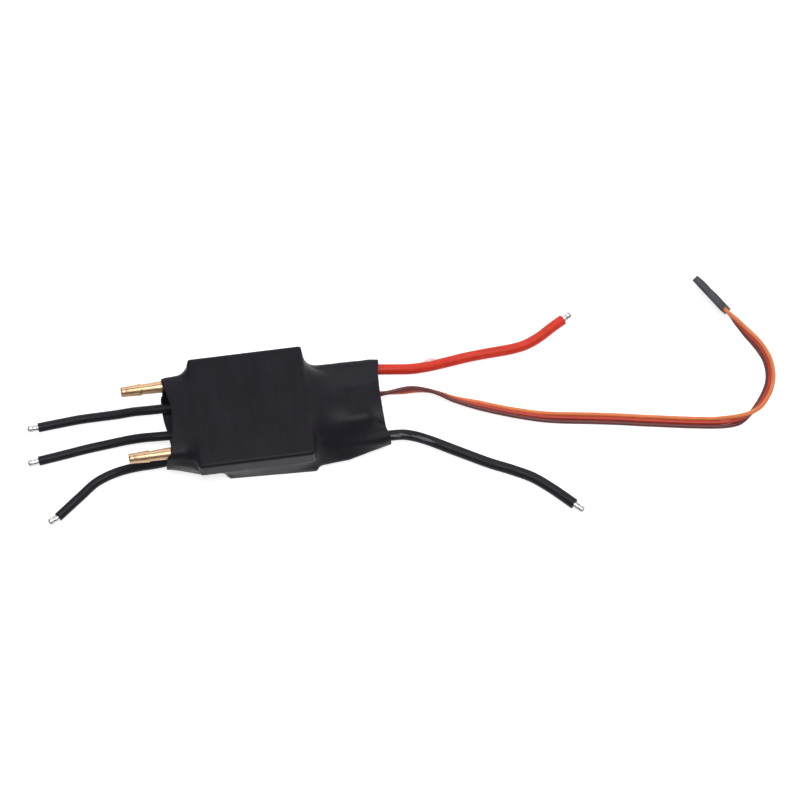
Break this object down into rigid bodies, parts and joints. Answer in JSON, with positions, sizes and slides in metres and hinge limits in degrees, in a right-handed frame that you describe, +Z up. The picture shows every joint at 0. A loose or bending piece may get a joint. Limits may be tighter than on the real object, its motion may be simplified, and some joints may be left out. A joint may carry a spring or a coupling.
{
  "type": "electronic speed controller",
  "caption": "Flat square motor controller in a black heat-shrink sleeve, with water nozzles and motor wires on one side, battery wires and a servo lead on the other.",
  "frame": {"origin": "centre of the square block's flat underside, on the surface that it lies on", "axes": "+X towards the battery wires and servo lead, -X towards the motor wires and water nozzles, +Z up out of the flat top"},
  "size_m": [0.2414, 0.0746, 0.0155],
  "materials": {
    "sleeve_shrink": "satin heat-shrink film, blue-black",
    "brass": "turned, polished",
    "aluminium": "milled",
    "plug_steel": "plain",
    "thermal_pad": "soft matte",
    "circuit_board": "green solder mask",
    "chip_moulding": "matte moulded epoxy",
    "ferrite": "matte sintered",
    "contact_gold": "plated",
    "capacitor_can": "gloss sleeve over an aluminium can",
    "black_silicone": "satin silicone rubber",
    "red_silicone": "satin silicone rubber",
    "tinned_copper": "tinned, slightly dull",
    "brown_strand": "satin PVC",
    "red_strand": "satin PVC",
    "orange_strand": "satin PVC",
    "connector_plastic": "matte moulded"
  },
  "bodies": {
    "root": {"heat_shrink_sleeve": "sleeve_shrink", "water_nozzle_inlet": "brass", "water_nozzle_outlet": "brass", "cooling_block": "aluminium", "base_heat_spreader": "aluminium", "channel_plug": "plug_steel", "base_pad": "thermal_pad", "thermal_pad": "thermal_pad", "control_board": "circuit_board", "power_board": "circuit_board", "mosfet_01": "chip_moulding", "mosfet_02": "chip_moulding", "mosfet_03": "chip_moulding", "mosfet_04": "chip_moulding", "mosfet_05": "chip_moulding", "mosfet_06": "chip_moulding", "mosfet_07": "chip_moulding", "mosfet_08": "chip_moulding", "mosfet_09": "chip_moulding", "mosfet_10": "chip_moulding", "mosfet_11": "chip_moulding", "mosfet_12": "chip_moulding", "microcontroller": "chip_moulding", "gate_driver_a": "chip_moulding", "gate_driver_b": "chip_moulding", "gate_driver_c": "chip_moulding", "bec_regulator": "chip_moulding", "bec_inductor": "ferrite", "board_header_far": "contact_gold", "board_header_near": "contact_gold", "servo_contact_ground": "contact_gold", "servo_contact_supply": "contact_gold", "servo_contact_signal": "contact_gold", "input_capacitor_far": "capacitor_can", "input_capacitor_near": "capacitor_can", "motor_wire_a_jacket": "black_silicone", "motor_wire_a_core": "tinned_copper", "motor_wire_b_jacket": "black_silicone", "motor_wire_b_core": "tinned_copper", "motor_wire_c_jacket": "black_silicone", "motor_wire_c_core": "tinned_copper", "battery_wire_positive_jacket": "red_silicone", "battery_wire_negative_jacket": "black_silicone", "battery_wire_positive_core": "tinned_copper", "battery_wire_negative_core": "tinned_copper", "servo_strand_brown": "brown_strand", "servo_strand_red": "red_strand", "servo_strand_orange": "orange_strand", "servo_connector_housing": "connector_plastic"}
  },
  "joints": []
}
